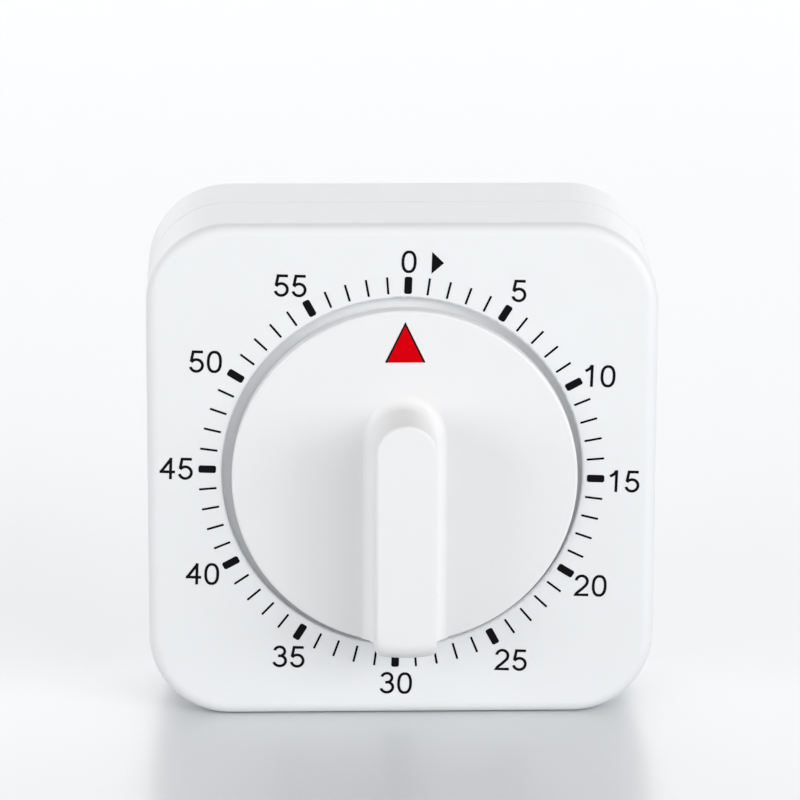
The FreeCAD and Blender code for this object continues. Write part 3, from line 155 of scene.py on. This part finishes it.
CASE_WHITE = plastic("case_white", (0.79, 0.805, 0.815), (0.78, 0.79, 0.80), 0.40, 0.48)
DIAL_WHITE = plastic("dial_white", (0.80, 0.80, 0.805), (0.79, 0.79, 0.795), 0.38, 0.46)
POINTER_RED = plastic("pointer_red", (0.66, 0.0, 0.005), (0.60, 0.0, 0.004), 0.60, 0.70, ior=1.05)
# Black print ink, also used for the painted shade line along the pointer's slanting sides
PRINT_BLACK_AND_PAINTED_SHADE = plastic(
    "print_black_and_painted_shade", (0.004, 0.004, 0.005), (0.008, 0.007, 0.009), 0.70, 0.80, 6000.0, 1e-6, 1.1
)
ACETAL = plastic("acetal", (0.86, 0.85, 0.80), (0.83, 0.82, 0.77), 0.45, 0.55)
PLATED = metal("plated_steel", (0.66, 0.66, 0.65), (0.58, 0.58, 0.57), 0.22, 0.40, (6.0, 6.0, 0.4))
BELL = metal("bell_steel", (0.76, 0.76, 0.77), (0.72, 0.72, 0.73), 0.06, 0.16, depth=1e-6)
ARBOR = metal("arbor_steel", (0.55, 0.55, 0.56), (0.48, 0.48, 0.49), 0.15, 0.28, (1.0, 8.0, 1.0))
BRASS = metal("brass", (0.78, 0.58, 0.26), (0.68, 0.50, 0.22), 0.20, 0.36, (0.5, 1.0, 6.0))
SPRING = metal("spring_steel", (0.20, 0.24, 0.34), (0.28, 0.30, 0.36), 0.20, 0.34)
PRESSED = metal("pressed_steel", (0.56, 0.56, 0.56), (0.46, 0.46, 0.46), 0.30, 0.48)

FINISH = {
    "case_plastic": CASE_WHITE,
    "dial_plastic": DIAL_WHITE,
    "pointer_red": POINTER_RED,
    "plated_steel": PLATED,
    "bell_steel": BELL,
    "arbor_steel": ARBOR,
    "brass": BRASS,
    "spring_steel": SPRING,
    "pressed_steel": PRESSED,
    "acetal": ACETAL,
}


def finish_cad_nodes():
    """Every CAD node gets its slot's material, and shading that keeps flats flat."""
    slots = {row["node"]: row["material_slot"] for row in frame["record"]["subparts"]}
    for name, node in frame["nodes"].items():
        node.data.materials.clear()
        node.data.materials.append(FINISH[slots[name]])
        smooth(node, 35.0)


def smooth(obj, sharp_over):
    """Smooth shading with creases over an angle in degrees, and large faces kept flat."""
    for face in obj.data.polygons:
        face.use_smooth = True
    weld = obj.modifiers.new("Weld", "WELD")
    weld.merge_threshold = 1e-6
    crease = obj.modifiers.new("Crease", "EDGE_SPLIT")
    crease.split_angle = math.radians(sharp_over)
    even = obj.modifiers.new("Even", "WEIGHTED_NORMAL")
    even.weight = 100


# ---------------------------------------------------------------- pieces


def new_piece(name, mesh, body, finish, replaces=()):
    """Puts a mesh in the scene as a piece that rides on a body."""
    obj = bpy.data.objects.new(name, mesh)
    bpy.context.scene.collection.objects.link(obj)
    mesh.materials.clear()
    mesh.materials.append(finish)
    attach(obj, body)
    if replaces:
        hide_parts(*replaces)
    return obj


def plate_mesh(name, outlines, back, front):
    """Flat shapes, each a list of (x, z) in millimetres, made solid between two y depths."""
    mesh = bpy.data.meshes.new(name)
    shape = bmesh.new()
    for outline in outlines:
        near = [shape.verts.new((mm(x), mm(front), mm(z))) for x, z in outline]
        far = [shape.verts.new((mm(x), mm(back), mm(z))) for x, z in outline]
        shape.faces.new(near)
        shape.faces.new(far[::-1])
        for n in range(len(outline)):
            k = (n + 1) % len(outline)
            shape.faces.new((near[k], near[n], far[n], far[k]))
    bmesh.ops.recalc_face_normals(shape, faces=shape.faces)
    shape.to_mesh(mesh)
    shape.free()
    return mesh


LAYER_STEP = 0.0005


def layered_mesh(name, outlines, back, front):
    """Strokes that may cross, as plates in one mesh, each a hair further forward than the last."""
    mesh = bpy.data.meshes.new(name)
    shape = bmesh.new()
    for n, outline in enumerate(outlines):
        part = plate_mesh("stroke", [outline], back, front - LAYER_STEP * n)
        shape.from_mesh(part)
        bpy.data.meshes.remove(part)
    shape.to_mesh(mesh)
    shape.free()
    return mesh


# ---------------------------------------------------------------- dial

RIM_RADIUS = 0.5
GRIP_BASE = 4.9
GRIP_TIP = 4.78
GRIP_RISE = 6.85
GRIP_LEAN = 0.65
GRIP_EDGE = 0.5
GRIP_FLARE = 2.0
GRIP_NOSE = 3.0
POINTER_GAP = 0.05
POINTER_DEPTH = 0.6
OUTLINE_INSET = 0.1
OUTLINE_WIDTH = 0.32
OUTLINE_RISE = 0.02
BACK_BEVEL = 0.3
FOOT_CORNER = 0.3
CORNER_GROWTH = 1.1


def on_dial(x, z, forward):
    """From the dial's own axes, with forward out of the face, to a place in metres."""
    return mm(DIAL_X + x), -mm(forward), mm(DIAL_Z + z)


def ring_solid(name, rings):
    """A closed solid through rings of equally many (x, z, forward) points, capped at both ends."""
    mesh = bpy.data.meshes.new(name)
    shape = bmesh.new()
    loops = [[shape.verts.new(on_dial(*point)) for point in ring] for ring in rings]
    for lower, upper in zip(loops, loops[1:]):
        for n in range(len(lower)):
            k = (n + 1) % len(lower)
            shape.faces.new((lower[n], lower[k], upper[k], upper[n]))
    shape.faces.new(loops[0][::-1])
    shape.faces.new(loops[-1])
    bmesh.ops.recalc_face_normals(shape, faces=shape.faces)
    shape.to_mesh(mesh)
    shape.free()
    return mesh


def disc_rings():
    """The dial's disc: a slightly bevelled back, a straight side and a rounded front rim."""
    profile = [(DIAL_RADIUS - BACK_BEVEL, DIAL_BACK), (DIAL_RADIUS, DIAL_BACK + BACK_BEVEL)]
    for n in range(9):
        turn = math.radians(90.0 * n / 8)
        inward = RIM_RADIUS * (1 - math.cos(turn))
        profile.append((DIAL_RADIUS - inward, DIAL_FACE - RIM_RADIUS * (1 - math.sin(turn))))
    return [[(x, z, forward) for x, z in arc(0, 0, r, r, 0, 360, steps=256)[:-1]] for r, forward in profile]


def grip_outline(half, foot, c):
    """The grip's section: a round upper end, straight sides, and a foot that follows the rim,
    joined to the sides by corners of radius c."""
    corner_z = -math.sqrt((foot - c) ** 2 - (half - c) ** 2)
    turn = math.degrees(math.atan2(corner_z, c - half)) % 360
    sides = [GRIP_RISE + (corner_z - GRIP_RISE) * n / 24 for n in range(1, 24)]
    points = arc(0, GRIP_RISE, half, half, 0, 180, steps=48)
    points += [(-half, z) for z in sides]
    points += arc(c - half, corner_z, c, c, 180, turn - 180, steps=8)
    points += arc(0, 0, foot, foot, turn, 540 - 2 * turn, steps=20)[1:-1]
    points += arc(half - c, corner_z, c, c, 540 - turn, turn - 180, steps=8)
    points += [(half, z) for z in sides[::-1]]
    return points


def grip_rings():
    """The bar grip from inside the disc up to its front: a flared foot, drafted sides, a round nose."""
    waist = DIAL_FACE + GRIP_FLARE
    nose = GRIP_TOP - GRIP_NOSE
    edge = GRIP_TOP - GRIP_EDGE
    rim = DIAL_RADIUS - 0.01

    def ring(forward, half, foot, corner):
        return [(x, z, forward) for x, z in grip_outline(half, foot, corner)]

    def upper(forward, inset=0.0):
        share = (forward - waist) / (GRIP_TOP - waist)
        turn = math.asin(min(max((forward - nose) / GRIP_NOSE, 0.0), 1.0))
        half = GRIP_BASE + (GRIP_TIP - GRIP_BASE) * share - inset
        foot = rim - GRIP_LEAN * share - GRIP_NOSE * (1 - math.cos(turn))
        return ring(forward, half, foot, FOOT_CORNER + CORNER_GROWTH * share)

    # the first ring and the second lie inside the disc, so that the two solids join cleanly
    wide = GRIP_BASE + GRIP_FLARE
    rings = [
        ring(DIAL_FACE - 1.1, wide, rim - 1.2, FOOT_CORNER),
        ring(DIAL_FACE - 0.5, wide, rim, FOOT_CORNER),
    ]
    for turn in range(0, 90, 9):
        c, s = math.cos(math.radians(turn)), math.sin(math.radians(turn))
        rings.append(ring(waist - GRIP_FLARE * c - 0.02, wide - GRIP_FLARE * s, rim, FOOT_CORNER))
    for share in range(5):
        rings.append(upper(waist + (nose - waist) * share / 4))
    for turn in (12, 24, 36, 48):
        rings.append(upper(nose + GRIP_NOSE * math.sin(math.radians(turn))))
    for turn in range(0, 91, 10):
        c, s = math.cos(math.radians(turn)), math.sin(math.radians(turn))
        rings.append(upper(edge + GRIP_EDGE * s, GRIP_EDGE * (1 - c)))
    return rings


def pointer_outline(gap):
    """The pointer's triangle, grown by a gap all round, or shrunk if the gap is negative."""
    left, right = MARK_LOW[0] - DIAL_X, MARK_HIGH[0] - DIAL_X
    low, tip = MARK_LOW[2] - DIAL_Z, MARK_HIGH[2] - DIAL_Z
    side = math.hypot(right - left, 2 * (tip - low)) / 2
    half = (right - left) / 2
    rise = gap * side / half
    widen = gap * (side + half) / (tip - low)
    return [(left - widen, low - gap), (right + widen, low - gap), (0.0, tip + rise)]


def joined(name, first, second, operation):
    """The result of a boolean between two meshes, as a new mesh."""
    target = bpy.data.objects.new(name, first)
    tool = bpy.data.objects.new(name + "_tool", second)
    for obj in (target, tool):
        bpy.context.scene.collection.objects.link(obj)
    change = target.modifiers.new("Join", "BOOLEAN")
    change.operation = operation
    change.solver = "EXACT"
    change.object = tool
    graph = bpy.context.evaluated_depsgraph_get()
    mesh = bpy.data.meshes.new_from_object(target.evaluated_get(graph))
    for obj in (target, tool):
        bpy.data.objects.remove(obj)
    mesh.name = name
    return mesh


def make_dial():
    """The disc and its bar grip in one moulding, with a pocket for the pointer."""
    disc = ring_solid("disc", disc_rings())
    grip = ring_solid("grip", grip_rings())
    outline = pointer_outline(POINTER_GAP)
    levels = (DIAL_FACE - POINTER_DEPTH, DIAL_FACE + 1.0)
    pocket = ring_solid("pocket", [[(x, z, forward) for x, z in outline] for forward in levels])
    whole = joined("dial_solid", disc, grip, "UNION")
    whole = joined("dial_moulding", whole, pocket, "DIFFERENCE")
    dial = new_piece("dial_moulding", whole, "dial", DIAL_WHITE, ["dial_knob"])
    smooth(dial, 40.0)


def make_pointer_edge():
    """Painted shade: a dark line along the pointer's two slanting sides, with round ends, standing for the
    shadow in the narrow gap round the pointer.
    """
    left, right, tip = pointer_outline(-OUTLINE_INSET)
    line = [left, tip, right]
    outlines = ribbon(line, OUTLINE_WIDTH)
    outlines += [arc(x, z, OUTLINE_WIDTH / 2, OUTLINE_WIDTH / 2, 0, 360)[:-1] for x, z in line]
    placed = [[(DIAL_X + x, DIAL_Z + z) for x, z in outline] for outline in outlines]
    # a thin dark strip just proud of the dial face: painted shade of the gap beside the pointer
    mesh = layered_mesh("pointer_gap_shade", placed, OUTLINE_RISE - DIAL_FACE, -DIAL_FACE - OUTLINE_RISE)
    new_piece("pointer_gap_shade", mesh, "dial", PRINT_BLACK_AND_PAINTED_SHADE)


# ---------------------------------------------------------------- printed scale

PRINT_TURN = math.radians(-1.75)
PRINT_CENTRE = (-0.08, CASE_MIDDLE - 0.12)
PRINT_BACK = FACE_Y + 0.02
PRINT_FRONT = FACE_Y - 0.03
TICK_RADIUS = 30.53
TICK_LENGTH = 2.75
MAJOR_WIDTH = 1.2
MINOR_WIDTH = 0.34


def printed(x, z):
    """From the scale's own axes to the row's x and z."""
    c, s = math.cos(PRINT_TURN), math.sin(PRINT_TURN)
    return PRINT_CENTRE[0] + x * c - z * s, PRINT_CENTRE[1] + x * s + z * c


def tick(minute, width):
    """One tick as a rectangle with slightly rounded corners."""
    turn = math.radians(6.0 * minute)
    soft = width * 0.18
    corners = []
    for sx, sz in ((1, 1), (-1, 1), (-1, -1), (1, -1)):
        first = (sx * width / 2, sz * (TICK_LENGTH / 2 - soft))
        second = (sx * (width / 2 - soft), sz * TICK_LENGTH / 2)
        corners += [first, second] if sx * sz > 0 else [second, first]
    outline = []
    for across, along in corners:
        out = TICK_RADIUS + along
        x = out * math.sin(turn) + across * math.cos(turn)
        z = out * math.cos(turn) - across * math.sin(turn)
        outline.append(printed(x, z))
    return outline


def make_ticks():
    majors = [tick(minute, MAJOR_WIDTH) for minute in range(0, 60, 5)]
    minors = [tick(minute, MINOR_WIDTH) for minute in range(60) if minute % 5]
    for name, outlines in (("five_minute_ticks", majors), ("minute_ticks", minors)):
        new_piece(name, plate_mesh(name, outlines, PRINT_BACK, PRINT_FRONT), "case", PRINT_BLACK_AND_PAINTED_SHADE)


# Digits are drawn as strokes, in boxes 1 high, that follow the middle of each line. HALF is half of
# a stroke's width, and TALL reaches from the middle of the box to a stroke at its edge.
DIGIT_HEIGHT = 3.55
DIGIT_PITCH = 2.76
STROKE = 0.125
HALF = STROKE / 2
TALL = 0.5 - HALF


def arc(x, z, rx, rz, start, sweep, power=2.0, steps=40):
    """Points on part of an ellipse, or of a fuller oval if power is over 2."""
    points = []
    for n in range(steps + 1):
        turn = math.radians(start + sweep * n / steps)
        c, s = math.cos(turn), math.sin(turn)
        px = math.copysign(abs(c) ** (2 / power), c)
        pz = math.copysign(abs(s) ** (2 / power), s)
        points.append((x + rx * px, z + rz * pz))
    return points


def curve(points, steps=14):
    """A smooth line through points."""
    padded = [points[0], *points, points[-1]]
    made = []
    for a, b, c, d in zip(padded, padded[1:], padded[2:], padded[3:]):
        for n in range(steps):
            t = n / steps
            made.append(tuple(
                0.5 * (2 * q + (r - p) * t + (2 * p - 5 * q + 4 * r - s) * t**2
                       + (3 * q - p - 3 * r + s) * t**3)
                for p, q, r, s in zip(a, b, c, d)
            ))
    return [*made, points[-1]]


DIGITS = {
    "0": [arc(0.388, 0.5, 0.268, TALL + 0.01, 90, -360, 2.35)],
    "1": [[(0.452, 0.0), (0.452, 1.0)],
          curve([(0.425, 0.965), (0.375, 0.86), (0.29, 0.785), (0.165, 0.715)])],
    "2": [[*arc(0.375, 0.69, 0.255, 0.255, 172, -172),
           *curve([(0.63, 0.69), (0.585, 0.54), (0.40, 0.345), (0.20, 0.17), (0.125, HALF)])[1:],
           (0.695, HALF)]],
    "3": [[*arc(0.365, 0.735, 0.228, 0.212, 168, -258, steps=48), (0.30, 0.523)],
          arc(0.375, 0.292, 0.268, 0.241, 78, -243, steps=48)],
    "4": [[(0.505, 0.0), (0.505, 0.985)], [(0.535, 0.955), (0.085, 0.335)], [(0.02, 0.335), (0.70, 0.335)]],
    "5": [[(0.655, 1 - HALF), (0.225, 1 - HALF), (0.148, 0.50)],
          arc(0.378, 0.318, 0.268, 0.268, 148, -313, steps=56)],
}


def ribbon(points, width):
    """The outline of a line of that width, with square ends. A closed line gives two halves."""
    if math.dist(points[0], points[-1]) < 1e-6:
        middle = len(points) // 2
        return ribbon(points[: middle + 1], width) + ribbon(points[middle:], width)
    left, right = [], []
    for n, (x, z) in enumerate(points):
        before = points[max(n - 1, 0)]
        after = points[min(n + 1, len(points) - 1)]
        into = Vector((x - before[0], z - before[1]))
        out = Vector((after[0] - x, after[1] - z))
        into = into.normalized() if into.length else out.normalized()
        out = out.normalized() if out.length else into
        along = (into + out).normalized()
        reach = width / 2 / max(along.dot(into), 0.55)
        left.append((x - along.y * reach, z + along.x * reach))
        right.append((x + along.y * reach, z - along.x * reach))
    return [left + right[::-1]]


def numeral_outlines(text, x, z):
    """The strokes of a number, its middle at (x, z) on the scale."""
    outlines = []
    start = x - DIGIT_PITCH * len(text) / 2
    for n, digit in enumerate(text):
        for stroke in DIGITS[digit]:
            for outline in ribbon(stroke, STROKE):
                placed = [
                    printed(start + DIGIT_PITCH * n + px * DIGIT_HEIGHT, z + (pz - 0.5) * DIGIT_HEIGHT)
                    for px, pz in outline
                ]
                outlines.append(placed)
    return outlines


# Where each number's middle stands, across and up from the scale's centre
NUMERAL_PLACES = {
    0: (0.0, 34.3), 5: (17.3, 30.1), 10: (30.37, 16.7), 15: (34.96, -0.34),
    20: (30.5, -17.66), 25: (18.4, -30.31), 30: (0.24, -34.6), 35: (-16.9, -30.6),
    40: (-30.8, -17.2), 45: (-35.3, 0.0), 50: (-31.2, 17.44), 55: (-18.3, 30.0),
}


def make_numerals():
    for minute, (x, z) in NUMERAL_PLACES.items():
        mesh = layered_mesh("numeral", numeral_outlines(str(minute), x, z), PRINT_BACK, PRINT_FRONT)
        new_piece(f"numeral_{minute:02d}", mesh, "case", PRINT_BLACK_AND_PAINTED_SHADE)


def make_direction_mark():
    """The small triangle beside the nought that shows which way to wind."""
    base_x, tip_x, top, bottom = 3.54, 5.44, 35.98, 32.48
    outline = [printed(*p) for p in ((base_x, top), (tip_x, (top + bottom) / 2), (base_x, bottom))]
    mesh = plate_mesh("direction_mark", [outline], PRINT_BACK, PRINT_FRONT)
    new_piece("direction_mark", mesh, "case", PRINT_BLACK_AND_PAINTED_SHADE)


# ---------------------------------------------------------------- camera, light and floor

MIDDLE = Vector((0.0, mm(FACE_Y + 13.0), mm(CASE_MIDDLE)))
CAMERA_AZIMUTH = math.radians(-1.68)
CAMERA_ELEVATION = math.radians(15.99)
CAMERA_ROLL = math.radians(0.17)
CAMERA_DISTANCE = 0.7979
AIM_RISE = 0.00833
LENS = 225.0
SOFTBOX_AIM = Vector((0, 0, 0.04))
SOFTBOX_DISTANCE = 1.3
SOFTBOX_SIZE = (0.7, 0.7)
AMBIENT = 0.22


def around(aim, azimuth, elevation, distance):
    """The place at a distance from aim, turned from the front and raised by angles in radians."""
    flat = math.cos(elevation) * distance
    across, back = math.sin(azimuth) * flat, -math.cos(azimuth) * flat
    return aim + Vector((across, back, math.sin(elevation) * distance))


def make_camera():
    data = bpy.data.cameras.new("camera")
    data.lens = LENS
    data.sensor_width = 36.0
    data.clip_start = 0.01
    data.clip_end = 20.0
    camera = bpy.data.objects.new("camera", data)
    bpy.context.scene.collection.objects.link(camera)
    camera.location = around(MIDDLE, CAMERA_AZIMUTH, CAMERA_ELEVATION, CAMERA_DISTANCE)
    aim = MIDDLE + Vector((0, 0, AIM_RISE))
    looking = (aim - camera.location).to_track_quat("-Z", "Y").to_matrix()
    roll = Matrix.Rotation(CAMERA_ROLL, 3, "Z")
    camera.rotation_euler = (looking @ roll).to_euler()
    bpy.context.scene.camera = camera


def area_light(name, location, target, size, power):
    data = bpy.data.lights.new(name, "AREA")
    data.shape = "RECTANGLE"
    data.size, data.size_y = size
    data.energy = power
    light = bpy.data.objects.new(name, data)
    bpy.context.scene.collection.objects.link(light)
    light.location = location
    light.rotation_euler = (Vector(target) - Vector(location)).to_track_quat("-Z", "Y").to_euler()


def softbox(name, azimuth, elevation, power):
    """A square light aimed at the middle of the timer, its angles in degrees."""
    place = around(SOFTBOX_AIM, math.radians(azimuth), math.radians(elevation), SOFTBOX_DISTANCE)
    area_light(name, place, SOFTBOX_AIM, SOFTBOX_SIZE, power)


def make_light():
    world = bpy.data.worlds.new("world")
    bpy.context.scene.world = world
    world.use_nodes = True
    background = world.node_tree.nodes["Background"]
    background.inputs["Color"].default_value = (1.0, 1.0, 1.0, 1)
    background.inputs["Strength"].default_value = AMBIENT
    softbox("softbox_right", 62, 12, 7.9)
    softbox("softbox_right_front", 35, 25, 5.0)
    softbox("softbox_left_front", -35, 12, 1.8)
    softbox("softbox_left", -60, 12, 6.0)
    softbox("softbox_left_high", -90, 35, 1.2)
    softbox("softbox_front", -15, 40, 1.6)
    area_light("backdrop", (0.0, 2.2, 0.9), (0, 0, 0.9), (5.0, 2.2), 65.0)
    bpy.context.scene.view_settings.view_transform = "Standard"


def make_floor():
    """A glossy white table."""
    mesh = bpy.data.meshes.new("table")
    reach = 4.0
    corners = [(-reach, -reach, 0), (reach, -reach, 0), (reach, reach, 0), (-reach, reach, 0)]
    mesh.from_pydata(corners, [], [(0, 1, 2, 3)])
    made, tree, shader = material("table_white")
    cloud = noise(tree, 3.0, 2.0)
    colour = tinted(tree, cloud, (0.70, 0.715, 0.735), (0.685, 0.70, 0.72))
    tree.links.new(colour, shader.inputs["Base Color"])
    shader.inputs["Roughness"].default_value = 0.3
    shader.inputs["IOR"].default_value = 2.1
    mesh.materials.append(made)
    table = bpy.data.objects.new("table", mesh)
    bpy.context.scene.collection.objects.link(table)


finish_cad_nodes()
make_dial()
make_pointer_edge()
make_ticks()
make_numerals()
make_direction_mark()
make_camera()
make_light()
make_floor()
